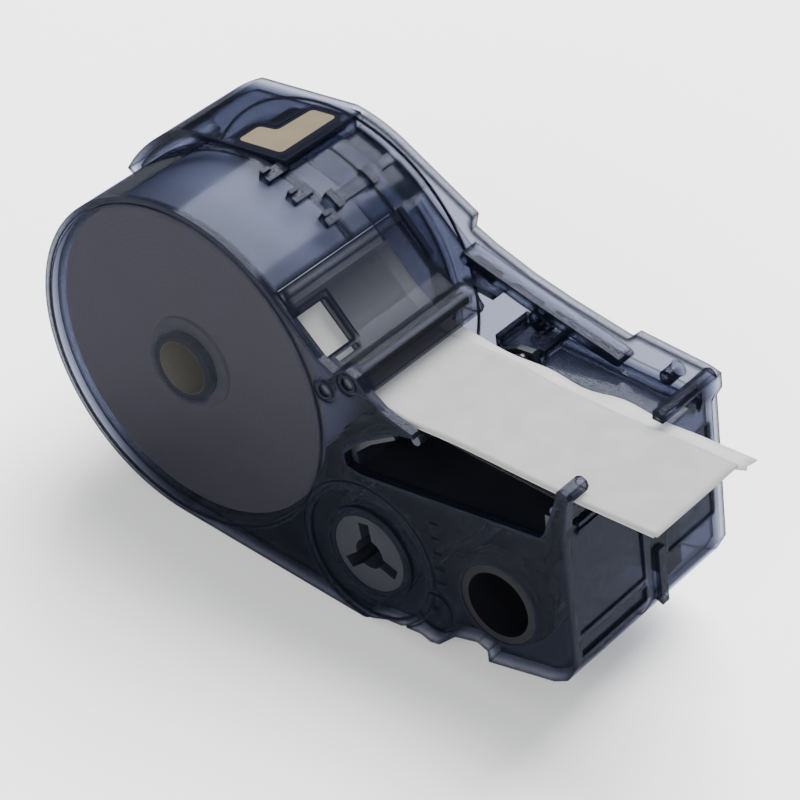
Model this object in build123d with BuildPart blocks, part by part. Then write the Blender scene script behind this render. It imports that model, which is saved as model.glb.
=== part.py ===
from build123d import *
import math
import os

os.makedirs("parts", exist_ok=True)

# ---------------------------------------------------------------- driving dimensions (mm)
DEPTH = 36.5          # front face to back face
TILT = 10.5           # slope of the tail, in degrees, when the cartridge stands on its long edge
DRUM_R = 28.0         # round end that holds the label roll
SADDLE_R = 30.6       # raised band on the rear half of the drum
SADDLE_TOP = 28.4     # height of the flat on the raised band
BAND_START = 70.0     # where the raised band starts on the drum, in degrees
BAND_END = 143.0      # where the raised band stops on the drum, in degrees
RAMP_ANGLE = 39.0     # where the drum turns into the straight ramp, in degrees
WALL = 1.2            # side walls of both shells
COVER = 1.5           # front and back plates
SEAM = 18.0           # depth at which the two shells meet
RAMP_SEAM = 27.0      # depth at which the tape cover meets the rear shell
TAIL_END = 70.0
FLOOR = 35.8          # length of the flat underside that the cartridge stands on

LABEL_WIDTH = 19.0    # three-quarter inch labels
LINER_WIDTH = 22.0
TAPE_Y = 2.2          # near edge of the tape
ROLL_R = 25.9         # full label roll
STRIP_END = 84.0      # free end of the strip
LABEL_T = 0.25
LINER_T = 0.20

RIBBON_Y = 3.0        # near edge of the ribbon
RIBBON_WIDTH = 22.0
RIBBON_T = 0.12
SUPPLY = (56.5, -21.6)
TAKEUP = (32.8, -21.6)
HUB = (0.0, 0.0)
TAPE_PIN = (33.2, 7.8)
BACK_PIN = (28.6, 5.3)
PIN_R = 0.95
GUIDES = [(67.4, -2.6), (43.6, 1.0), (29.6, -3.2)]
GUIDE_R = 0.8         # steel pins that carry the ribbon

RUN = 0.05            # radial running clearance
PLAY = 0.1            # gap between pieces that stay still
FLOAT = 0.15          # end float of the spools
SUNK = 0.3            # depth and width of fine sunk lines on the outside
CORE_BORE_R = 4.4
CORE_JOURNAL_R = 5.3
CORE_R = 7.5
SUPPLY_BORE_R = 5.3
SUPPLY_BORE_L = 23.0
SUPPLY_JOURNAL_R = 6.5
TAKEUP_JOURNAL_R = 6.4
SPOOL_R = 6.3         # ribbon cores under the winding
FLANGE_R = 7.4
FLANGE_T = 0.8
SOCKET_R = 2.5        # drive socket of the take-up core, and its three arms
SOCKET_L = 14.0
ARM_REACH = 5.2
ARM_WIDTH = 1.9
ARM_ANGLES = (95, 215, 335)
SUPPLY_WIND_R = 7.9
TAKEUP_WIND_R = 7.6
POST_R = 2.6          # posts that carry the back ends of the ribbon cores
SUPPLY_POST_Y = 23.4
TAKEUP_POST_Y = 19.0
POST_CLEAR = 0.5      # from a post's tip to the bottom of its socket
WEB_Y = 26.2          # web that closes the ribbon chamber at the back
WEB = 1.2
GUARD_R = 26.4        # inside of the curved wall between label roll and ribbon
GUARD_T = 0.9
ROLL_STOP = (24.8, 23.6)      # rib on the back plate that keeps the roll to the front, outer and inner radius
ROLL_STOP_Y = 24.7

# ---------------------------------------------------------------- places and planes
# Profiles are drawn on the side plane: u runs along the tail, w runs across it, and depth runs to the back.
slope = math.radians(TILT)
SIDE = Plane(origin=(0, 0, 0), x_dir=(math.cos(slope), 0, math.sin(slope)), z_dir=(0, -1, 0))
TOP = Plane(origin=(0, 0, 0), x_dir=(math.cos(slope), 0, math.sin(slope)),
            z_dir=(-math.sin(slope), 0, math.cos(slope)))
INSIDE = COVER + PLAY         # where the inner pieces start
BACK_IN = DEPTH - COVER       # inside face of the back plate
FLAT_ANGLE = math.degrees(math.asin(SADDLE_TOP / SADDLE_R))
BEYOND = 75.0                 # clear of the tail's end, for cuts


def side(depth):
    """The side plane at a depth behind the front face."""
    return SIDE.offset(-depth)


def top(height):
    """A plane parallel to the flat of the raised band, at a height above the drum's axis."""
    return TOP.offset(height)


def polar(radius, angle):
    """A point on a circle about the drum's axis."""
    return (radius * math.cos(math.radians(angle)), radius * math.sin(math.radians(angle)))


def on_ramp(along, out):
    """A point on the ramp: its distance down the ramp and its distance from the drum's axis."""
    a = math.radians(RAMP_ANGLE)
    return (along * math.sin(a) + out * math.cos(a), -along * math.cos(a) + out * math.sin(a))


def disc(radius, centre, depth, length, mode=Mode.ADD):
    """A round bar along the depth, added to the part being built or cut from it."""
    with BuildSketch(side(depth)) as profile:
        with Locations(centre):
            Circle(radius)
    extrude(profile.sketch, amount=-length, mode=mode)


def ring(outer, inner, centre, depth, length, mode=Mode.ADD):
    """A tube along the depth, added to the part being built or cut from it."""
    with BuildSketch(side(depth)) as profile:
        with Locations(centre):
            Circle(outer)
            Circle(inner, mode=Mode.SUBTRACT)
    extrude(profile.sketch, amount=-length, mode=mode)


def slab(points, depth, length, mode=Mode.ADD):
    """A flat shape through the points, made solid along the depth."""
    with BuildSketch(side(depth)) as profile:
        with BuildLine():
            Polyline(*points, close=True)
        make_face()
    extrude(profile.sketch, amount=-length, mode=mode)


def block(low, high, depth, length, mode=Mode.ADD):
    """A slab with an upright rectangle as its shape."""
    slab([low, (high[0], low[1]), high, (low[0], high[1])], depth, length, mode)


def ramp_block(along, out, depth, length, mode=Mode.ADD):
    """A slab square to the ramp, between two distances along it and two distances out from the axis."""
    slab([on_ramp(along[0], out[0]), on_ramp(along[1], out[0]), on_ramp(along[1], out[1]),
          on_ramp(along[0], out[1])], depth, length, mode)


def drum_block(radii, angles, depth, length, mode=Mode.ADD):
    """A slab shaped as a piece of a ring about the drum's axis."""
    with BuildSketch(side(depth)) as profile:
        with BuildLine():
            outer = CenterArc(HUB, radii[1], angles[0], angles[1] - angles[0])
            inner = CenterArc(HUB, radii[0], angles[0], angles[1] - angles[0])
            Line(outer @ 0, inner @ 0)
            Line(outer @ 1, inner @ 1)
        make_face()
    extrude(profile.sketch, amount=-length, mode=mode)


def finish(builder, name):
    """Names a finished piece and writes its file."""
    builder.part.label = name
    export_step(builder.part, f"parts/{name}.step")


# ---------------------------------------------------------------- outlines of the case
FLOOR_START = polar(DRUM_R, -90 - TILT)
FLOOR_END = (FLOOR_START[0] + FLOOR * math.cos(slope), FLOOR_START[1] - FLOOR * math.sin(slope))
UNDERSIDE = [
    FLOOR_END, (34.6, -32.8), (41.0, -32.8), (42.7, -33.6), (44.4, -33.4), (47.7, -30.7),
    (51.8, -30.0), (53.6, -30.9), (53.6, -32.8), (65.5, -31.4), (68.0, -30.3), (69.8, -27.2),
]
CAVITY = [(66.4, -5.6), (65.6, -6.6), (33.6, -7.3), (31.0, -6.6), (30.6, -4.8), (34.4, -1.5), (41.9, 2.2)]
RAIL = [
    (44.6, 2.4), (44.4, 3.1), (42.7, 3.7), (39.2, 5.2), (36.6, 7.3), (35.2, 9.4), (33.4, 10.2), (32.0, 9.9),
]
RAMP_FOOT = [(30.9, 9.0), (28.4, 10.5)]
BACK_TOP = [
    (69.9, -2.7), (70.9, -1.0), (70.9, 1.4), (69.0, 2.1), (57.3, 4.2), (55.7, 2.9), (45.7, 5.9),
    (38.9, 8.3), (32.1, 11.4), (28.4, 13.5), (29.1, 15.8), (15.8, 25.0),
]

# Inside edge of both walls' outlines; the open zone below cuts the wall away there
CHORD = [(TAIL_END, -4.0), (70.3, 1.0), (60.0, 1.0), (60.0, -8.0), (36.0, -8.0), on_ramp(13, DRUM_R)]

# Zone that the tape cover, the strip and the ribbon's way in and out keep clear of walls
OPEN_TOP = [
    on_ramp(-1.3, DRUM_R + 6), (44, 20), (75, 12), (75, -0.9), (68.7, -0.9), (68.7, -10.5), (28.0, -11.0),
    on_ramp(-1.3, DRUM_R - 6),
]

# Front plate: drum, underside, end post, print-head cavity, rail and exit bar
with BuildSketch() as front_outline:
    with BuildLine():
        drum = CenterArc(HUB, DRUM_R, RAMP_ANGLE, 270 - TILT - RAMP_ANGLE)
        Polyline(drum @ 1, *UNDERSIDE, (TAIL_END, -4.0), (70.3, 1.0), (69.0, 1.0), *CAVITY, *RAIL, *RAMP_FOOT,
                 drum @ 0)
    make_face()

# Front shell's wall
with BuildSketch() as wall_outline:
    with BuildLine():
        drum = CenterArc(HUB, DRUM_R, RAMP_ANGLE, 270 - TILT - RAMP_ANGLE)
        Polyline(drum @ 1, *UNDERSIDE, *CHORD, drum @ 0)
    make_face()

# Rear shell's wall, with the raised band on the drum
with BuildSketch() as rear_outline:
    with BuildLine():
        crest = CenterArc(HUB, DRUM_R, RAMP_ANGLE, BAND_START - RAMP_ANGLE)
        band = CenterArc(HUB, SADDLE_R, 180 - FLAT_ANGLE, BAND_END - 180 + FLAT_ANGLE)
        Polyline(crest @ 1, ((crest @ 1).X, SADDLE_TOP), band @ 0)
        drum = CenterArc(HUB, DRUM_R, BAND_END, 270 - TILT - BAND_END)
        Line(band @ 1, drum @ 0)
        Polyline(drum @ 1, *UNDERSIDE, *CHORD, crest @ 0)
    make_face()

# Back plate, which stands proud of the wall along the top
with BuildSketch() as back_outline:
    with BuildLine():
        shoulder = ThreePointArc(BACK_TOP[-1], (12.4, 26.8), (7.6, SADDLE_TOP))
        band = CenterArc(HUB, SADDLE_R, 180 - FLAT_ANGLE, BAND_END - 180 + FLAT_ANGLE)
        Line(shoulder @ 1, band @ 0)
        drum = CenterArc(HUB, DRUM_R, BAND_END, 270 - TILT - BAND_END)
        Line(band @ 1, drum @ 0)
        Polyline(drum @ 1, *UNDERSIDE, *BACK_TOP)
    make_face()

# Contact pad on the raised band, an L seen from above: along the tail, and in depth
with BuildSketch() as pad_outline:
    with BuildLine():
        Polyline((-1.3, 19.8), (7.2, 19.8), (7.2, 32.2), (2.4, 32.2), (2.0, 24.8), (-1.3, 24.4), close=True)
    make_face()
    fillet(pad_outline.vertices(), radius=0.8)

# ---------------------------------------------------------------- front shell
with BuildPart() as front_shell:
    with BuildSketch(side(0)):
        add(front_outline.sketch)
    extrude(amount=-COVER)
    with BuildSketch(side(COVER)):
        add(wall_outline.sketch)
        offset(amount=-WALL, kind=Kind.INTERSECTION, mode=Mode.SUBTRACT)
        with BuildLine():
            Polyline(*OPEN_TOP, close=True)
        make_face(mode=Mode.SUBTRACT)
    extrude(amount=-(SEAM - COVER))
    # finger that holds the near edge of the strip down
    slab([(69.0, 0.9), (71.0, 0.6), (71.3, 1.4), (71.0, 2.2), (70.2, 2.6), (69.3, 2.3)], 0, 4.6)
    slab([(68.0, -3.0), (70.2, -4.0), (71.0, 0.8), (69.0, 1.0)], 0, COVER)
    # bearings for the three spools and holes for the tape pins
    disc(CORE_JOURNAL_R + RUN, HUB, 0, COVER, Mode.SUBTRACT)
    disc(SUPPLY_JOURNAL_R + RUN, SUPPLY, 0, COVER, Mode.SUBTRACT)
    disc(TAKEUP_JOURNAL_R + RUN, TAKEUP, 0, COVER, Mode.SUBTRACT)
    for pin in (TAPE_PIN, BACK_PIN):
        disc(PIN_R + RUN, pin, 0, COVER, Mode.SUBTRACT)
        ring(1.85, 1.85 - SUNK, pin, 0, SUNK, Mode.SUBTRACT)
    # shallow sunk rings and steps on the face
    ring(27.1, 27.1 - SUNK, HUB, 0, SUNK, Mode.SUBTRACT)
    ring(11.0, 7.9, TAKEUP, 0, 0.4, Mode.SUBTRACT)
    ring(12.4, 12.4 - SUNK, TAKEUP, 0, SUNK, Mode.SUBTRACT)
    disc(0.6, (44.6, -26.6), 0, COVER, Mode.SUBTRACT)
    ring(3.6, 2.9, (44.6, -27.2), 0, SUNK, Mode.SUBTRACT)
    for tick in range(5):
        block((45.6, -11.4 - 2.6 * tick), (47.2, -11.0 - 2.6 * tick), 0, SUNK, Mode.SUBTRACT)
    # sunk panel and groove on the end wall, and the two ledges above them
    block((69.5, -22.6), (BEYOND, -6.6), 1.6, SEAM - 2.6, Mode.SUBTRACT)
    block((69.3, -26.4), (BEYOND, -24.0), 1.6, SEAM - 2.6, Mode.SUBTRACT)
    block((69.9, -4.5), (70.6, -3.9), 2.6, 12.4)
    block((69.9, -5.9), (70.4, -5.3), 2.6, 10.4)
    # snap hooks along the seam
    for angle, reach in ((48.5, 2.6), (59.5, 4.0), (70.0, 4.0)):
        drum_block((DRUM_R - 0.3, DRUM_R + 0.9), (angle, angle + 4.0), SEAM - reach, reach)
        drum_block((DRUM_R - 0.3, DRUM_R + 1.6), (angle + 2.6, angle + 4.0), SEAM - reach, 1.6)
finish(front_shell, "front_shell")

# ---------------------------------------------------------------- rear shell
with BuildPart() as rear_shell:
    with BuildSketch(side(BACK_IN)):
        add(back_outline.sketch)
    extrude(amount=-COVER)
    with BuildSketch(side(SEAM)):
        add(rear_outline.sketch)
        offset(amount=-WALL, kind=Kind.INTERSECTION, mode=Mode.SUBTRACT)
        with BuildLine():
            Polyline(*OPEN_TOP, close=True)
        make_face(mode=Mode.SUBTRACT)
    extrude(amount=-(BACK_IN - SEAM))
    # front face of the raised band
    with BuildSketch(side(SEAM)):
        add(rear_outline.sketch)
        Circle(DRUM_R - WALL, mode=Mode.SUBTRACT)
        with BuildLine():
            Polyline((-40, 17.7), (20, 17.7), (20, 40), (-40, 40), close=True)
        make_face(mode=Mode.INTERSECT)
    extrude(amount=-WALL)
    # rear part of the ramp, behind the tape cover, and the rear end of the exit bar
    slab([on_ramp(-1.7, DRUM_R), on_ramp(0, DRUM_R + 0.3), on_ramp(11.5, DRUM_R + 0.8),
          on_ramp(13.5, DRUM_R + 0.6), on_ramp(13.5, DRUM_R - 0.6), on_ramp(-1.7, DRUM_R - 1.1)],
         RAMP_SEAM, BACK_IN - RAMP_SEAM)
    slab([on_ramp(12.6, DRUM_R + 0.7), (36.4, 7.2), (35.6, 6.2), on_ramp(12.4, DRUM_R - 0.6)],
         30.0, BACK_IN - 30.0)
    # lug under the ramp that carries the far end of the rear tape pin
    slab([(26.6, 10.2), (29.9, 7.0), (30.2, 4.2), (28.6, 3.6), (26.9, 4.6)], RAMP_SEAM, 1.6)
    disc(PIN_R + RUN, BACK_PIN, RAMP_SEAM, 1.6, Mode.SUBTRACT)
    # raised bar with end blocks across the drum, and the thick lip beside the tape cover
    drum_block((DRUM_R - 0.3, DRUM_R + 0.8), (52.0, 56.0), SEAM + 1.0, 9.0)
    for start in (SEAM + 0.6, RAMP_SEAM - 0.6):
        drum_block((DRUM_R - 0.3, DRUM_R + 1.5), (51.0, 57.0), start, 1.4)
    ramp_block((-1.2, 7.0), (DRUM_R - 0.4, DRUM_R + 1.3), RAMP_SEAM, 0.9)
    # sunk seam line and thinned windows in the wall beside the back plate
    drum_block((DRUM_R - 0.4, DRUM_R + 0.2), (RAMP_ANGLE, 51.0), RAMP_SEAM, SUNK, Mode.SUBTRACT)
    drum_block((DRUM_R - 0.4, DRUM_R + 0.2), (57.0, 69.5), RAMP_SEAM, SUNK, Mode.SUBTRACT)
    drum_block((DRUM_R - 0.6, DRUM_R + 0.2), (57.5, 70.0), 30.4, 3.4, Mode.SUBTRACT)
    drum_block((DRUM_R - 0.6, DRUM_R + 0.2), (42.0, 54.0), 30.4, 3.4, Mode.SUBTRACT)
    # rail along the top of the back plate
    slab([(29.0, 11.6), (40.1, 7.3), (55.4, 1.9), (56.4, 1.5), (56.7, 0.9), (56.3, 0.3), (55.6, 0.2),
          (39.6, 5.4), (28.4, 9.9)], BACK_IN - 3.2, 3.2)
    # round rib behind the label roll
    ring(*ROLL_STOP, HUB, ROLL_STOP_Y, BACK_IN - ROLL_STOP_Y)
    # bosses on the back plate
    ring(2.0, 0.6, (41.8, 2.9), BACK_IN - 2.4, 2.4)
    disc(1.2, (64.5, 0.9), BACK_IN - 3.0, 3.0)
    # stepped shelf beside the strip, its left part with two cross ribs, and the corner post
    slab([(46.4, 0.6), (66.2, -2.2), (66.2, -3.0), (46.4, -0.2)], 25.4, BACK_IN - 25.4)
    slab([(46.4, 1.4), (68.0, -1.7), (68.0, -3.2), (46.4, -0.2)], 31.2, BACK_IN - 31.2)
    slab([(37.4, 1.2), (46.6, 0.6), (46.6, -0.2), (37.4, 0.4)], 27.6, BACK_IN - 27.6)
    for start in (37.4, 45.4):
        block((start, 0.2), (start + 1.0, 2.2), 27.6, BACK_IN - 27.6)
    slab([(67.6, -3.2), (70.0, -3.2), (70.9, -1.0), (70.9, 1.4), (69.0, 1.8), (67.6, 0.6)],
         31.6, BACK_IN - 31.6)
    # finger that holds the far edge of the strip down
    slab([(69.1, 1.2), (70.9, 0.9), (71.2, 1.6), (70.9, 2.3), (70.2, 2.8), (69.3, 2.6)], 22.2, BACK_IN - 22.2)
    # opening for the contact pad, through the flat of the raised band
    with BuildSketch(top(SADDLE_TOP - 2 * WALL)):
        add(pad_outline.sketch)
        offset(amount=0.8, mode=Mode.ADD)
    extrude(amount=3 * WALL, mode=Mode.SUBTRACT)
    # bearing for the label core, and sunk rings on the back
    disc(CORE_JOURNAL_R + RUN, HUB, BACK_IN, COVER, Mode.SUBTRACT)
    ring(27.1, 27.1 - SUNK, HUB, DEPTH - SUNK, SUNK, Mode.SUBTRACT)
    for centre in (SUPPLY, TAKEUP):
        ring(9.0, 8.6, centre, DEPTH - SUNK, SUNK, Mode.SUBTRACT)
        ring(4.4, 4.0, centre, DEPTH - SUNK, SUNK, Mode.SUBTRACT)
    # sunk panel and spring latch on the end wall
    block((69.5, -21.6), (BEYOND, -6.0), 22.6, 11.4, Mode.SUBTRACT)
    slab([(69.2, -19.0), (70.6, -19.0), (70.6, -28.6), (69.4, -28.0)], 19.4, 1.6)
finish(rear_shell, "rear_shell")

# ---------------------------------------------------------------- tape cover: ramp, ribs and exit bar
with BuildPart() as tape_cover:
    with BuildSketch(side(INSIDE)):
        with BuildLine():
            Polyline(on_ramp(-1.2, DRUM_R + 1.0), on_ramp(0.4, DRUM_R + 1.0), on_ramp(0.4, DRUM_R + 0.2),
                     *reversed(RAMP_FOOT), *reversed(RAIL[4:]), (36.2, 6.3), (34.8, 5.8), (32.4, 5.9),
                     on_ramp(13.2, DRUM_R - 0.4), on_ramp(-1.2, DRUM_R - 0.8), close=True)
        make_face()
        with Locations(TAPE_PIN):
            Circle(PIN_R + RUN, mode=Mode.SUBTRACT)
    extrude(amount=-(RAMP_SEAM - COVER - 2 * PLAY))
    # raised frame of the window and the rib that carries it on across the ramp
    ramp_block((2.2, 12.6), (DRUM_R - 0.4, DRUM_R + 1.0), INSIDE, 6.6)
    ramp_block((11.4, 12.6), (DRUM_R - 0.4, DRUM_R + 1.0), 8.1, 18.0)
    # open window on the label, and a narrow slot below it
    ramp_block((3.2, 10.2), (DRUM_R - 2, DRUM_R + 2), 0, 7.2, Mode.SUBTRACT)
    ramp_block((10.9, 11.7), (DRUM_R - 2, DRUM_R + 2), 2.4, 4.6, Mode.SUBTRACT)
finish(tape_cover, "tape_cover")

# ---------------------------------------------------------------- inner pieces of the tail
# web that closes the ribbon chamber and carries the guide pins and the two posts
with BuildPart() as ribbon_frame:
    with BuildSketch(side(WEB_Y)):
        with BuildLine():
            Polyline(polar(27.0, -86), (29.6, -32.2), (34.6, -31.2), (41.4, -31.2), (46.2, -29.0),
                     (52.4, -28.2), (55.8, -30.0), (66.6, -29.2), (68.4, -26.8), (68.4, -1.4), (66.4, -1.4),
                     (66.4, -3.3), (46.0, -0.4), (45.2, 2.2), (42.4, 2.2), (36.0, -0.4), (31.6, -1.6),
                     (28.2, -1.8), polar(27.2, -8), close=True)
        make_face()
        Circle(GUARD_R + 0.2, mode=Mode.SUBTRACT)
    extrude(amount=-WEB)
    disc(POST_R, SUPPLY, SUPPLY_POST_Y, WEB_Y - SUPPLY_POST_Y)
    disc(POST_R, TAKEUP, TAKEUP_POST_Y, WEB_Y - TAKEUP_POST_Y)
finish(ribbon_frame, "ribbon_frame")

# curved wall between the label roll and the ribbon
with BuildPart() as roll_guard:
    drum_block((GUARD_R, GUARD_R + GUARD_T), (-86, -14), INSIDE, WEB_Y - INSIDE)
finish(roll_guard, "roll_guard")

# trough that the print head enters
with BuildPart() as head_trough:
    slab([(39.6, -0.3), (34.8, -2.7), (31.7, -5.0), (32.1, -7.4), (65.4, -7.4), (65.6, -3.6), (66.4, -3.7),
          (66.2, -8.6), (31.1, -8.6), (30.7, -4.6), (34.3, -1.9), (39.2, 0.5)], INSIDE, WEB_Y - INSIDE)
finish(head_trough, "head_trough")

# ---------------------------------------------------------------- label core and roll
with BuildPart() as label_core:
    disc(CORE_JOURNAL_R, HUB, 0, DEPTH)
    disc(CORE_R, HUB, COVER + FLOAT, BACK_IN - COVER - FLOAT - 0.55)
    disc(CORE_BORE_R, HUB, 0, DEPTH, Mode.SUBTRACT)
finish(label_core, "label_core")

with BuildPart() as label_roll:
    ring(ROLL_R, CORE_R, HUB, TAPE_Y, LINER_WIDTH)
finish(label_roll, "label_roll")

with BuildPart() as core_brake_washer:
    ring(CORE_R, CORE_JOURNAL_R + 0.2, HUB, BACK_IN - 0.4, 0.3)
finish(core_brake_washer, "core_brake_washer")


# ---------------------------------------------------------------- free strip: liner below, label above
def strip_line(lift):
    """The strip's path, from the roll, down the ramp, round the exit bar and out over the tail."""
    Spline(on_ramp(1.5, ROLL_R + 0.3 + lift), on_ramp(8.5, ROLL_R + 0.35 + lift), (29.9, 6.3 + lift),
           (33.0, 4.9 + lift), (36.4, 4.0 + lift), (41.8, 2.9 + lift), (51.0, 2.2 + lift), (68.0, 0.1 + lift),
           (STRIP_END, -1.3 + lift))


with BuildPart() as liner_strip:
    with BuildSketch(side(TAPE_Y)):
        with BuildLine():
            strip_line(0)
        trace(line_width=LINER_T)
    extrude(amount=-LINER_WIDTH)
finish(liner_strip, "liner_strip")

with BuildPart() as label_strip:
    with BuildSketch(side(TAPE_Y)):
        with BuildLine():
            strip_line((LABEL_T + LINER_T) / 2 + RUN)
        trace(line_width=LABEL_T)
    extrude(amount=-LABEL_WIDTH)
finish(label_strip, "label_strip")

# ---------------------------------------------------------------- ribbon spools
# Each core has a journal in the front plate, a flange and a barrel that ends short of the web
BARREL_L = WEB_Y - COVER - FLOAT - 0.6

with BuildPart() as ribbon_supply_core:
    disc(SUPPLY_JOURNAL_R, SUPPLY, FLOAT, COVER)
    disc(FLANGE_R, SUPPLY, COVER + FLOAT, FLANGE_T)
    disc(SPOOL_R, SUPPLY, COVER + FLOAT, BARREL_L)
    disc(SUPPLY_BORE_R, SUPPLY, 0, SUPPLY_BORE_L, Mode.SUBTRACT)
    disc(POST_R + RUN, SUPPLY, SUPPLY_BORE_L - POST_CLEAR, WEB_Y - SUPPLY_BORE_L, Mode.SUBTRACT)
finish(ribbon_supply_core, "ribbon_supply_core")

with BuildPart() as ribbon_supply_winding:
    ring(SUPPLY_WIND_R, SPOOL_R, SUPPLY, RIBBON_Y, RIBBON_WIDTH)
finish(ribbon_supply_winding, "ribbon_supply_winding")

with BuildPart() as ribbon_takeup_core:
    disc(TAKEUP_JOURNAL_R, TAKEUP, FLOAT, COVER)
    disc(FLANGE_R, TAKEUP, COVER + FLOAT, FLANGE_T)
    disc(SPOOL_R, TAKEUP, COVER + FLOAT, BARREL_L)
    # three-armed socket that the printer's drive spindle enters
    with BuildSketch(side(0)):
        with Locations(TAKEUP):
            Circle(SOCKET_R)
        for arm in ARM_ANGLES:
            with Locations(Location((*TAKEUP, 0), (0, 0, arm))):
                Rectangle(ARM_REACH, ARM_WIDTH, align=(Align.MIN, Align.CENTER))
    extrude(amount=-SOCKET_L, mode=Mode.SUBTRACT)
    disc(POST_R + RUN, TAKEUP, TAKEUP_POST_Y - POST_CLEAR, WEB_Y - TAKEUP_POST_Y + POST_CLEAR, Mode.SUBTRACT)
finish(ribbon_takeup_core, "ribbon_takeup_core")

with BuildPart() as ribbon_takeup_winding:
    ring(TAKEUP_WIND_R, SPOOL_R, TAKEUP, RIBBON_Y, RIBBON_WIDTH)
finish(ribbon_takeup_winding, "ribbon_takeup_winding")

for spool, centre in (("supply", SUPPLY), ("takeup", TAKEUP)):
    with BuildPart() as drag_washer:
        ring(SPOOL_R, POST_R + 0.2, centre, WEB_Y - 0.45, 0.4)
    finish(drag_washer, f"{spool}_drag_washer")


# ---------------------------------------------------------------- ribbon film and the pins that carry it
def film_line():
    """The ribbon's path: off the supply spool, over the print-head trough and back to the take-up spool."""
    clear = GUIDE_R + 0.15
    left = (GUIDES[2][0] - clear, GUIDES[2][1] + clear)
    FilletPolyline(
        (SUPPLY[0] + SUPPLY_WIND_R + 0.4, SUPPLY[1]), (GUIDES[0][0] + clear + 0.25, GUIDES[0][1] + clear),
        (GUIDES[1][0] - 0.1, GUIDES[1][1] + clear + 0.15), left,
        (TAKEUP[0] - TAKEUP_WIND_R - 0.4, TAKEUP[1] - 1.0), radius=0.6)


with BuildPart() as ribbon_film:
    with BuildSketch(side(RIBBON_Y)):
        with BuildLine():
            film_line()
        trace(line_width=RIBBON_T)
    extrude(amount=-RIBBON_WIDTH)
finish(ribbon_film, "ribbon_film")

with BuildPart() as ribbon_guide_pins:
    for guide in GUIDES:
        disc(GUIDE_R, guide, COVER, WEB_Y - COVER)
finish(ribbon_guide_pins, "ribbon_guide_pins")

for name, centre, length in (("tape_pin", TAPE_PIN, 26.0), ("tape_back_pin", BACK_PIN, 27.9)):
    with BuildPart() as pin:
        disc(PIN_R, centre, 0.5, length)
    finish(pin, name)

# ---------------------------------------------------------------- contact chip in the raised band
# The holder's plate lies under the band's wall, and its pedestal fills the opening around the pad
PAD_TOP = SADDLE_TOP - 0.1
BOARD_TOP = PAD_TOP - 0.4
PLATE_TOP = SADDLE_TOP - WALL - PLAY

with BuildPart() as chip_holder:
    with BuildSketch(top(PLATE_TOP - 0.8)):
        with Locations((2.8, 26.3)):
            RectangleRounded(11.0, 13.8, 1.0)
    extrude(amount=0.8)
    with BuildSketch(top(PLATE_TOP)):
        add(pad_outline.sketch)
        offset(amount=0.7, mode=Mode.ADD)
    extrude(amount=PAD_TOP - PLATE_TOP)
    with BuildSketch(top(BOARD_TOP - 0.5)):
        add(pad_outline.sketch)
    extrude(amount=WALL, mode=Mode.SUBTRACT)
finish(chip_holder, "chip_holder")

with BuildPart() as chip_board:
    with BuildSketch(top(BOARD_TOP - 0.5)):
        add(pad_outline.sketch)
    extrude(amount=0.5)
finish(chip_board, "chip_board")

with BuildPart() as chip_contacts:
    with BuildSketch(top(BOARD_TOP)):
        add(pad_outline.sketch)
    extrude(amount=PAD_TOP - BOARD_TOP)
finish(chip_contacts, "chip_contacts")
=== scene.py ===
import math
import random

import bmesh
import bpy
from mathutils import Matrix, Vector


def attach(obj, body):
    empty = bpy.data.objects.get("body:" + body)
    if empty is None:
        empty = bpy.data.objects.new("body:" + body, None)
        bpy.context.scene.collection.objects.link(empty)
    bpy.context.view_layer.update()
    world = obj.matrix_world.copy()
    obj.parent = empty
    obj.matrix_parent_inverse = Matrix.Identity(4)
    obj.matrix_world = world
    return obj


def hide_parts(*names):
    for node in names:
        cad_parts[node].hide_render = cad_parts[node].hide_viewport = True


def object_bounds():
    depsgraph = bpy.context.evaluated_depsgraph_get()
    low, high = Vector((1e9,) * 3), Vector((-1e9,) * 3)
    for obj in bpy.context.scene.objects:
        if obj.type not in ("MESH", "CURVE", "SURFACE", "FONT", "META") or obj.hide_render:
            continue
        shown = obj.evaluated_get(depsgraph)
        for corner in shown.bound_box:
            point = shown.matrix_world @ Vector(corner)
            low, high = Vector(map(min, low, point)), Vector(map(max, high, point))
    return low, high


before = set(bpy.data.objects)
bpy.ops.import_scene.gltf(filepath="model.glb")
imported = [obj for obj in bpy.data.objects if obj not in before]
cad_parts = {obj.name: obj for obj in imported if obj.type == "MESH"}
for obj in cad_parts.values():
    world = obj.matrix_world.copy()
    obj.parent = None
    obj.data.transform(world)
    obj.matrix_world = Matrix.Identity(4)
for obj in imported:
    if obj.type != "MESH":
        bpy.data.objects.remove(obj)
cad_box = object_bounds()

# ---------------------------------------------------------------- sizes, in millimetres unless noted
# u runs along the tail, w across it and y in depth; the roll's axis is at u = w = 0
TILT = math.radians(10.5)   # slope of the tail against the floor
RAMP_ANGLE = math.radians(39)
ROLL_R = 25.9
CORE_R = 7.5
CORE_BORE_R = 4.42          # just outside the core's bore
CORE_JOURNAL_R = 5.4        # just outside the core's journals
TURN = 0.45                 # one turn of the roll: liner and label
TURN_SHARE = 0.9            # of a turn that its near edge fills
TURN_GAP = 0.01             # between two turns at the far face
EDGE_CUT = 0.04             # corner taken off each turn at the near face
NEAR_JITTER = 0.03          # how unevenly the turns end at the near face
FAR_JITTER = 0.15           # and at the far face
RIM_DROP = 0.1              # how far the outermost turn's edges stand back
ROLL_BAND = 0.3             # faces this close to the roll's radius are its outside
ROLL_SEGMENTS = 128
TAPE_Y = 2.2                # near edge of the tape
LABEL_WIDTH = 19.0
LINER_WIDTH = 22.0
LABEL_T = 0.25
LINER_T = 0.20
STRIP_END = 84.0
STRIP_STEPS = 10            # spans between two points of the strip's line
STRIP_COLUMNS = 24          # spans across a strip
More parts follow.
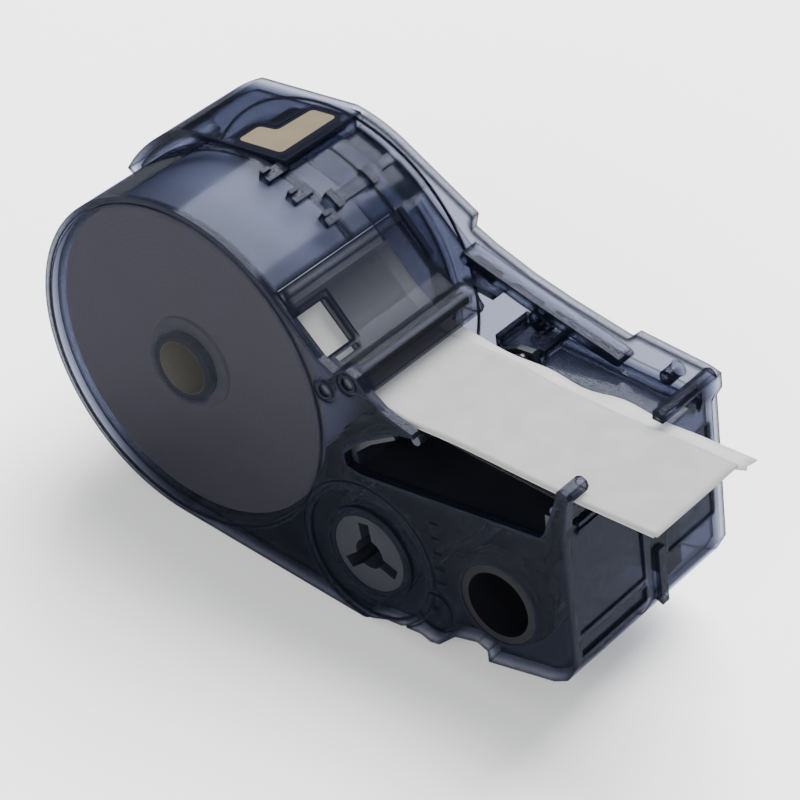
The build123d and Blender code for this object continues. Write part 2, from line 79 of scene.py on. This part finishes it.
LABEL_GAP = 0.15            # air between label and liner
LINER_PAST = 0.9            # how far the liner stands out past the label's cut end, beside the label
LINER_SHORT = -0.8          # and how far it stops short of it under the label
LINER_RAGGED = 0.3
RIBBON_Y = 3.0
RIBBON_WIDTH = 22.0
RIBBON_T = 0.10
FILM_STEPS = 6
EDGE_DEPTH = 0.00115        # how far below a face another face brings painted edge shade onto it, in metres
RIM_WIDTH = 0.0006          # how far the painted shade of an edge reaches in from it, in metres
MOST_SHINE = 0.12           # of the light that smoke plastic mirrors at a glancing angle
MOST_EDGE_SHADE = 0.97             # how far the painted shade at the darkest edges hides what is behind them
PLASTIC_IOR = 1.46
# the near-black colour painted along edges as shade
EDGE_SHADE_COLOUR = (0.005, 0.006, 0.011)
MM = 0.001

low, high = (Vector(c) for c in cad_box)
CENTRE = (low + high) / 2


def at(u, w, y):
    """A point given along the tail, across it and in depth, in millimetres."""
    x = u * math.cos(TILT) - w * math.sin(TILT)
    z = u * math.sin(TILT) + w * math.cos(TILT)
    return Vector((x, y, z)) * MM


def on_ramp(along, out):
    """A point on the ramp: its distance down the ramp and its distance from the drum's axis."""
    return (along * math.sin(RAMP_ANGLE) + out * math.cos(RAMP_ANGLE),
            -along * math.cos(RAMP_ANGLE) + out * math.sin(RAMP_ANGLE))


# ---------------------------------------------------------------- node helpers
def new_material(name):
    """An empty material: its node tree and its output node."""
    material = bpy.data.materials.new(name)
    material.use_nodes = True
    tree = material.node_tree
    tree.nodes.clear()
    return material, tree, tree.nodes.new("ShaderNodeOutputMaterial")


def add_node(tree, kind, inputs=None, **settings):
    """A node with its settings and its unlinked or linked inputs filled in."""
    node = tree.nodes.new("ShaderNode" + kind)
    for key, value in settings.items():
        setattr(node, key, value)
    for key, value in (inputs or {}).items():
        if isinstance(value, bpy.types.NodeSocket):
            tree.links.new(value, node.inputs[key])
        else:
            node.inputs[key].default_value = value
    return node


def noise(tree, scale, detail=3.0, stretch=(1, 1, 1)):
    """Noise over the object's own coordinates."""
    place = add_node(tree, "TexCoord").outputs["Object"]
    moved = add_node(tree, "Mapping", {"Vector": place, "Scale": stretch}).outputs["Vector"]
    return add_node(tree, "TexNoise", {"Vector": moved, "Scale": scale, "Detail": detail}).outputs["Fac"]


def ramp(tree, value, stops):
    """A colour ramp over a value."""
    node = add_node(tree, "ValToRGB", {"Fac": value})
    elements = node.color_ramp.elements
    while len(elements) < len(stops):
        elements.new(0.5)
    for element, (place, colour) in zip(elements, stops):
        element.position = place
        element.color = (*colour, 1)
    return node.outputs["Color"]


def grey(value):
    return (value, value, value)


def shade(colour, factor):
    return tuple(min(1.0, c * factor) for c in colour)


def bump(tree, height, distance, strength=1.0):
    """A normal tilted by a height, in metres."""
    inputs = {"Height": height, "Distance": distance, "Strength": strength}
    return add_node(tree, "Bump", inputs).outputs["Normal"]


def past(tree, value, limit):
    """1 where the value is over the limit, and 0 elsewhere."""
    return add_node(tree, "Math", {0: value, 1: limit}, operation="GREATER_THAN").outputs[0]


def mottled(tree, scale, detail, colour, spread):
    """A colour that drifts by a share of itself, in soft patches."""
    patches = noise(tree, scale, detail)
    return ramp(tree, patches, [(0.3, shade(colour, 1 - spread)), (0.7, shade(colour, 1 + spread))])


# ---------------------------------------------------------------- materials
def smoke_plastic(name, skin, tint, density, haze, haze_colour, gloss_colour):
    """Translucent moulded plastic: a glossy skin on a body that darkens with depth, with painted shade along
    its edges.
    """
    material, tree, out = new_material(name)
    wavy = bump(tree, noise(tree, 130, 2), 0.00001)
    clear = add_node(tree, "BsdfTransparent", {"Color": (*skin, 1)}).outputs[0]
    patches = noise(tree, 90, 3)
    cloudy = ramp(tree, patches, [(0.3, shade(haze_colour, 0.75)), (0.7, shade(haze_colour, 1.15))])
    body = add_node(tree, "BsdfDiffuse", {"Color": cloudy, "Roughness": 0.4}).outputs[0]
    filled = add_node(tree, "MixShader", {"Fac": haze, 1: clear, 2: body}).outputs[0]
    # painted shade at the edges: a rounded normal finds the inner corners, occlusion the outer ones, and
    # there a near-black colour is mixed in
    geometry = add_node(tree, "NewGeometry").outputs
    rounded = add_node(tree, "Bevel", {"Radius": RIM_WIDTH}, samples=4).outputs["Normal"]
    match = add_node(tree, "VectorMath", {0: rounded, 1: geometry["Normal"]}, operation="DOT_PRODUCT")
    inner = ramp(tree, match.outputs["Value"], [(0.86, grey(MOST_EDGE_SHADE)), (0.99, grey(0))])
    room = add_node(
        tree, "AmbientOcclusion", {"Distance": EDGE_DEPTH}, samples=4, inside=True, only_local=True)
    outer = ramp(tree, room.outputs["AO"], [(0.66, grey(MOST_EDGE_SHADE)), (0.96, grey(0))])
    near_edge = add_node(tree, "Math", {0: inner, 1: outer}, operation="MAXIMUM").outputs[0]
    edge_shade = add_node(tree, "BsdfDiffuse", {"Color": (*EDGE_SHADE_COLOUR, 1)}).outputs[0]
    edged = add_node(tree, "MixShader", {"Fac": near_edge, 1: filled, 2: edge_shade}).outputs[0]
    gloss_rough = ramp(tree, noise(tree, 160, 3), [(0.35, grey(0.11)), (0.65, grey(0.16))])
    gloss = add_node(tree, "BsdfGlossy", {
        "Color": (*gloss_colour, 1), "Roughness": gloss_rough, "Normal": wavy}).outputs[0]
    fresnel = add_node(tree, "Fresnel", {"IOR": PLASTIC_IOR, "Normal": wavy}).outputs[0]
    facing = add_node(tree, "Math", {0: 1.0, 1: geometry["Backfacing"]}, operation="SUBTRACT").outputs[0]
    held = add_node(tree, "Math", {0: fresnel, 1: MOST_SHINE}, operation="MINIMUM").outputs[0]
    shine = add_node(tree, "Math", {0: held, 1: facing}, operation="MULTIPLY").outputs[0]
    shell = add_node(tree, "MixShader", {"Fac": shine, 1: edged, 2: gloss}).outputs[0]
    dark = add_node(tree, "VolumeAbsorption", {"Color": (*tint, 1), "Density": density}).outputs[0]
    tree.links.new(shell, out.inputs["Surface"])
    tree.links.new(dark, out.inputs["Volume"])
    return material


def solid_plastic(name, colour, rough, spread=0.15, gloss=0.4, grain=0.00002, grain_scale=2200):
    """Opaque plastic, paper, film or felt: slight mottling, uneven gloss and a fine grain."""
    material, tree, out = new_material(name)
    tone = mottled(tree, 180, 4, colour, spread)
    patchy = noise(tree, 260, 3)
    roughness = ramp(tree, patchy, [(0.35, grey(rough * 0.85)), (0.65, grey(min(1, rough * 1.2)))])
    skin = bump(tree, noise(tree, grain_scale, 0), grain, 0.5)
    shader = add_node(tree, "BsdfPrincipled", {
        "Base Color": tone, "Roughness": roughness, "Normal": skin, "Specular IOR Level": gloss})
    tree.links.new(shader.outputs[0], out.inputs["Surface"])
    return material


def wound_stock(name, dark, light, rough):
    """The cut edges of wound stock: fine rings about the axis, broken by noise."""
    material, tree, out = new_material(name)
    place = add_node(tree, "TexCoord").outputs["Object"]
    rings = add_node(tree, "TexWave", {
        "Vector": place, "Scale": 340.0, "Distortion": 1.6, "Detail": 3.0, "Detail Scale": 2.0},
        wave_type="RINGS", rings_direction="Y").outputs["Fac"]
    patch = noise(tree, 130, 4)
    blend = add_node(tree, "Math", {0: rings, 1: patch}, operation="MULTIPLY").outputs[0]
    tone = ramp(tree, blend, [(0.1, dark), (0.45, light)])
    shader = add_node(tree, "BsdfPrincipled", {
        "Base Color": tone, "Roughness": rough, "Normal": bump(tree, rings, 0.000004, 0.2)})
    tree.links.new(shader.outputs[0], out.inputs["Surface"])
    return material


def core_stock(name, bore, journal, body, rough):
    """The label core: grey inside its bore, dark journals and a pale wound part."""
    material, tree, out = new_material(name)
    place = add_node(tree, "TexCoord").outputs["Object"]
    parts = add_node(tree, "SeparateXYZ", {"Vector": place}).outputs
    flat = add_node(tree, "CombineXYZ", {"X": parts["X"], "Z": parts["Z"]}).outputs[0]
    radius = add_node(tree, "VectorMath", {0: flat}, operation="LENGTH").outputs["Value"]
    # the bore is coloured mid grey, darker than the wound part
    patchy, plain, pale = (mottled(tree, 180, 3, colour, 0.1) for colour in (bore, journal, body))
    past_bore = past(tree, radius, CORE_BORE_R * MM)
    past_journal = past(tree, radius, CORE_JOURNAL_R * MM)
    inner = add_node(tree, "MixRGB", {"Fac": past_bore, "Color1": patchy, "Color2": plain}).outputs[0]
    tone = add_node(tree, "MixRGB", {"Fac": past_journal, "Color1": inner, "Color2": pale}).outputs[0]
    shader = add_node(tree, "BsdfPrincipled", {
        "Base Color": tone, "Roughness": rough, "Specular IOR Level": 0.05})
    tree.links.new(shader.outputs[0], out.inputs["Surface"])
    return material


def metal(name, colour, rough):
    """Ground steel with fine marks round the pin."""
    material, tree, out = new_material(name)
    marks = noise(tree, 400, 5, (1, 40, 1))
    tone = ramp(tree, marks, [(0.3, shade(colour, 0.8)), (0.7, colour)])
    roughness = ramp(tree, marks, [(0.3, grey(rough)), (0.7, grey(rough * 1.6))])
    shader = add_node(tree, "BsdfPrincipled", {"Base Color": tone, "Roughness": roughness, "Metallic": 1.0})
    tree.links.new(shader.outputs[0], out.inputs["Surface"])
    return material


smoke = smoke_plastic(
    "smoke_plastic", skin=(0.80, 0.81, 0.85), tint=(0.32, 0.345, 0.45), density=840,
    haze=0.015, haze_colour=(0.10, 0.11, 0.16), gloss_colour=(0.16, 0.17, 0.205))
cover_smoke = smoke_plastic(
    "cover_smoke", skin=(0.84, 0.85, 0.87), tint=(0.38, 0.385, 0.44), density=480,
    haze=0.03, haze_colour=(0.20, 0.20, 0.22), gloss_colour=(0.07, 0.075, 0.09))
inner_smoke = solid_plastic("inner_smoke", (0.008, 0.009, 0.013), 0.35, gloss=0.3, grain=0.000002)
core_plastic = core_stock(
    "core_plastic", bore=(0.075, 0.072, 0.066), journal=(0.004, 0.005, 0.009), body=(0.60, 0.49, 0.35),
    rough=0.5)
spool_plastic = solid_plastic("spool_plastic", (0.005, 0.005, 0.007), 0.45, gloss=0.1, grain=0.000004)
takeup_plastic = solid_plastic("takeup_plastic", (0.013, 0.014, 0.019), 0.4, gloss=0.12, grain=0.000004)
label_paper = solid_plastic("label_paper", (0.235, 0.235, 0.232), 0.6, 0.015, gloss=0.2, grain=0.000008)
liner_paper = solid_plastic("liner_paper", (0.31, 0.31, 0.306), 0.5, 0.03, gloss=0.25, grain=0.000008)
roll_side = wound_stock("wound_roll", (0.66, 0.52, 0.355), (0.68, 0.54, 0.37), 0.8)
# painted light: the roll's outside is the strips' paper painted far lighter, for the light seen through the
# drum's top
lit_roll_outside = solid_plastic("lit_roll_outside", (0.84, 0.84, 0.82), 0.5, 0.03, gloss=0.25, grain=0.000008)
ribbon_ink = solid_plastic("ribbon_ink", (0.008, 0.008, 0.011), 0.25, gloss=0.35, grain=0.000002)
# painted shade: the pins' steel is coloured near black, for the shade they sit in
shaded_steel = metal("steel_in_painted_shade", (0.06, 0.065, 0.08), 0.35)
felt = solid_plastic("grey_felt", (0.2, 0.2, 0.2), 0.95, 0.3, grain=0.0003)
board = solid_plastic("circuit_board", (0.02, 0.03, 0.035), 0.35, 0.2)
contact = solid_plastic(
    "contact_pad", (0.10, 0.078, 0.048), 0.6, 0.08, gloss=0.15, grain=0.00003, grain_scale=3200)

NODE_MATERIALS = {
    "front_shell": smoke, "rear_shell": smoke, "tape_cover": cover_smoke,
    "ribbon_frame": inner_smoke, "roll_guard": inner_smoke, "head_trough": inner_smoke,
    "label_core": core_plastic, "label_roll": liner_paper,
    "label_strip": label_paper, "liner_strip": liner_paper,
    "core_brake_washer": felt, "supply_drag_washer": felt, "takeup_drag_washer": felt,
    "ribbon_supply_core": spool_plastic, "ribbon_supply_winding": ribbon_ink, "ribbon_film": ribbon_ink,
    "ribbon_takeup_core": takeup_plastic, "ribbon_takeup_winding": ribbon_ink,
    "ribbon_guide_pins": shaded_steel, "tape_pin": shaded_steel, "tape_back_pin": shaded_steel,
    "chip_holder": smoke, "chip_board": board, "chip_contacts": contact,
}
for node, material in NODE_MATERIALS.items():
    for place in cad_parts[node].material_slots:
        place.material = material


# ---------------------------------------------------------------- mesh helpers
def piece_from(mesh, name, materials, body, smooth=True):
    """A finished object from a bmesh, riding on a body."""
    bmesh.ops.recalc_face_normals(mesh, faces=mesh.faces)
    data = bpy.data.meshes.new(name)
    mesh.to_mesh(data)
    mesh.free()
    for material in materials:
        data.materials.append(material)
    if smooth:
        data.shade_smooth()
    piece = bpy.data.objects.new(name, data)
    bpy.context.collection.objects.link(piece)
    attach(piece, body)
    return piece


def smooth_line(points, steps):
    """A smooth line through the points, by Catmull-Rom spans of that many steps."""
    ends = [tuple(2 * a - b for a, b in zip(points[0], points[1])), *points,
            tuple(2 * a - b for a, b in zip(points[-1], points[-2]))]
    line = []
    for p0, p1, p2, p3 in zip(ends, ends[1:], ends[2:], ends[3:]):
        for i in range(steps):
            t = i / steps
            line.append(tuple(
                0.5 * (2 * b + (c - a) * t + (2 * a - 5 * b + 4 * c - d) * t * t
                       + (3 * b - a - 3 * c + d) * t ** 3)
                for a, b, c, d in zip(p0, p1, p2, p3)))
    return [*line, points[-1]]


def level(*_):
    """The lift and the end of a strip that is neither bowed nor stepped."""
    return 0.0


def strip_piece(name, line, start, width, thick, material, lift=level, tail=level, ragged=0.0):
    """A thin closed strip along a line, bowed by lift(u, share of width) and ended by tail(share)."""
    dice = random.Random(name)
    mesh = bmesh.new()
    rows = []
    for i, (u, w) in enumerate(line):
        before, after = line[max(0, i - 1)], line[min(len(line) - 1, i + 1)]
        along = Vector((after[0] - before[0], after[1] - before[1])).normalized()
        normal = Vector((-along.y, along.x))
        row = []
        for j in range(STRIP_COLUMNS + 1):
            share = j / STRIP_COLUMNS
            rise = lift(u, share)
            end = tail(share) + dice.uniform(-ragged, ragged) if i == len(line) - 1 else 0.0
            for side in (-0.5, 0.5):
                place = Vector((u, w)) + normal * (rise + side * thick) + along * end
                row.append(mesh.verts.new(at(place.x, place.y, start + width * share)))
        rows.append(row)
    for first, second in zip(rows, rows[1:]):
        for j in range(STRIP_COLUMNS):
            a, b = 2 * j, 2 * j + 2
            mesh.faces.new((first[a + 1], first[b + 1], second[b + 1], second[a + 1]))
            mesh.faces.new((first[a], second[a], second[b], first[b]))
        for j in (0, 2 * STRIP_COLUMNS):
            mesh.faces.new((first[j], first[j + 1], second[j + 1], second[j]))
    for row in (rows[0], rows[-1]):
        for j in range(STRIP_COLUMNS):
            mesh.faces.new((row[2 * j], row[2 * j + 2], row[2 * j + 3], row[2 * j + 1]))
    return piece_from(mesh, name, [material], "case")


# ---------------------------------------------------------------- label and liner strips
STRIP_POINTS = [
    on_ramp(1.5, ROLL_R + 0.3), on_ramp(8.5, ROLL_R + 0.35), (29.9, 6.3), (33.0, 4.9), (36.4, 4.0),
    (41.8, 2.9), (51.0, 2.2), (68.0, 0.1), (STRIP_END, -1.3),
]
strip_line = smooth_line(STRIP_POINTS, STRIP_STEPS)


def hump(u, start, end):
    """A smooth rise and fall between two places along the tail."""
    t = (u - start) / (end - start)
    return math.sin(math.pi * t) ** 2 if 0 < t < 1 else 0.0


def liner_lift(u, share):
    """The liner dips a little along its far edge, in slow waves."""
    wave = 0.5 * math.sin(u * 0.42) * hump(u, 38, 80)
    return (-0.5 * hump(u, 37, 66) + wave) * share ** 3


def label_lift(u, share):
    """The label stands off the liner along its far edge, where the strip leaves the exit bar."""
    crease = 0.10 * hump(u, 37.5, 40.0) - 0.08 * hump(u, 40.5, 43.5) + 0.06 * hump(u, 46, 49)
    curl = (1.2 * hump(u, 33, 54) + 0.25 * hump(u, 60, 90)) * share ** 3
    return (LABEL_T + LINER_T) / 2 + LABEL_GAP + crease + curl


def liner_end(share):
    """The liner stops short of the label's cut end, and stands out past it beside the label."""
    return LINER_PAST if share * LINER_WIDTH > LABEL_WIDTH else LINER_SHORT


liner = strip_piece("liner_sheet", strip_line, TAPE_Y, LINER_WIDTH, LINER_T, liner_paper,
                    liner_lift, liner_end, LINER_RAGGED)
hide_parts("liner_strip")

label = strip_piece("label_sheet", strip_line, TAPE_Y, LABEL_WIDTH, LABEL_T, label_paper, label_lift)
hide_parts("label_strip")


# ---------------------------------------------------------------- wound label roll
def wound_roll():
    """The roll as its turns lie: rings of edges that are never quite level, liner wider than label."""
    dice = random.Random(7)
    count = int((ROLL_R - CORE_R) / TURN)
    near, far = [], []
    for turn in range(count):
        inner = CORE_R + turn * TURN
        start = TAPE_Y + dice.uniform(0, NEAR_JITTER)
        near += [(inner, start + EDGE_CUT), (inner + EDGE_CUT, start), (inner + TURN * TURN_SHARE, start)]
        liner_edge = TAPE_Y + LINER_WIDTH - dice.uniform(0, FAR_JITTER)
        label_edge = liner_edge - (LINER_WIDTH - LABEL_WIDTH)
        far += [(inner, liner_edge), (inner + LINER_T, liner_edge), (inner + LINER_T, label_edge),
                (inner + TURN - TURN_GAP, label_edge)]
    profile = [*near, (ROLL_R, TAPE_Y + RIM_DROP), (ROLL_R, TAPE_Y + LINER_WIDTH - RIM_DROP), *reversed(far)]
    mesh = bmesh.new()
    rings = []
    for step in range(ROLL_SEGMENTS):
        angle = 2 * math.pi * step / ROLL_SEGMENTS
        rings.append([mesh.verts.new(at(r * math.cos(angle), r * math.sin(angle), y)) for r, y in profile])
    size = len(profile)
    for first, second in zip(rings, [*rings[1:], rings[0]]):
        for j in range(size):
            k = (j + 1) % size
            mesh.faces.new((first[j], first[k], second[k], second[j]))
    roll = piece_from(mesh, "wound_label_roll", [roll_side, lit_roll_outside], "label_spool", smooth=False)
    # the outside faces take the paper painted lighter, as painted light
    for face in roll.data.polygons:
        centre = face.center
        flat = abs(face.normal.y) < 0.3
        outside = math.hypot(centre.x, centre.z) > (ROLL_R - ROLL_BAND) * MM
        face.material_index = 1 if flat and outside else 0
        face.use_smooth = flat and outside
    return roll


roll = wound_roll()
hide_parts("label_roll")


# ---------------------------------------------------------------- ribbon between its spools
FILM_POINTS = [
    (64.8, -21.6), (67.4, -5.2), (68.05, -2.6), (67.2, -1.7), (55.0, 0.3), (44.4, 2.05), (43.2, 2.05),
    (36.0, 0.1), (29.3, -2.3), (28.65, -3.4), (27.7, -7.0), (24.9, -22.4),
]
film_line = smooth_line(FILM_POINTS, FILM_STEPS)
film = strip_piece("ribbon_sheet", film_line, RIBBON_Y, RIBBON_WIDTH, RIBBON_T, ribbon_ink)
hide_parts("ribbon_film")


# ---------------------------------------------------------------- floor, lights and camera, in metres
FLOOR_SIZE = 6
WORLD_COLOUR = (0.95, 0.97, 1.0, 1)
WORLD_STRENGTH = 0.6
FOCAL_LENGTH = 136.18       # in millimetres, as is the sensor
SENSOR_WIDTH = 36
CAMERA_PLACE = Vector((0.237561, -0.253063, 0.280612))
CAMERA_AIM = Vector((-0.47351891, 0.6090297, -0.6362882))
CAMERA_UP = Vector((-0.42085881, 0.47815738, 0.77087183))

bpy.ops.mesh.primitive_plane_add(size=FLOOR_SIZE, location=(CENTRE.x, CENTRE.y, low.z))
floor = bpy.context.object
floor.name = "floor"
floor_material, floor_tree, floor_out = new_material("floor_pale")
floor_tone = ramp(floor_tree, noise(floor_tree, 3, 2), [(0.3, grey(0.90)), (0.7, grey(0.93))])
floor_shader = add_node(floor_tree, "BsdfPrincipled", {"Base Color": floor_tone, "Roughness": 0.8})
floor_tree.links.new(floor_shader.outputs[0], floor_out.inputs["Surface"])
floor.data.materials.append(floor_material)


def area_light(name, place, energy, size):
    """A soft lamp that points at the cartridge."""
    lamp = bpy.data.lights.new(name, "AREA")
    lamp.energy = energy
    lamp.size = size
    thing = bpy.data.objects.new(name, lamp)
    thing.location = CENTRE + Vector(place)
    thing.rotation_euler = (CENTRE - thing.location).to_track_quat("-Z", "Y").to_euler()
    bpy.context.collection.objects.link(thing)


area_light("key", (-0.18, 0.62, 0.84), 54, 1.0)
area_light("fill", (0.3, -0.95, 0.45), 16, 0.8)

world = bpy.data.worlds.new("studio")
bpy.context.scene.world = world
world.use_nodes = True
background = world.node_tree.nodes["Background"].inputs
background["Color"].default_value = WORLD_COLOUR
background["Strength"].default_value = WORLD_STRENGTH

camera_data = bpy.data.cameras.new("camera")
camera_data.lens = FOCAL_LENGTH
camera_data.sensor_width = SENSOR_WIDTH
camera = bpy.data.objects.new("camera", camera_data)
side_axis = CAMERA_AIM.cross(CAMERA_UP)
turn = Matrix((side_axis, CAMERA_UP, -CAMERA_AIM)).transposed()
camera.matrix_world = Matrix.Translation(CAMERA_PLACE) @ turn.to_4x4()
bpy.context.collection.objects.link(camera)
bpy.context.scene.camera = camera
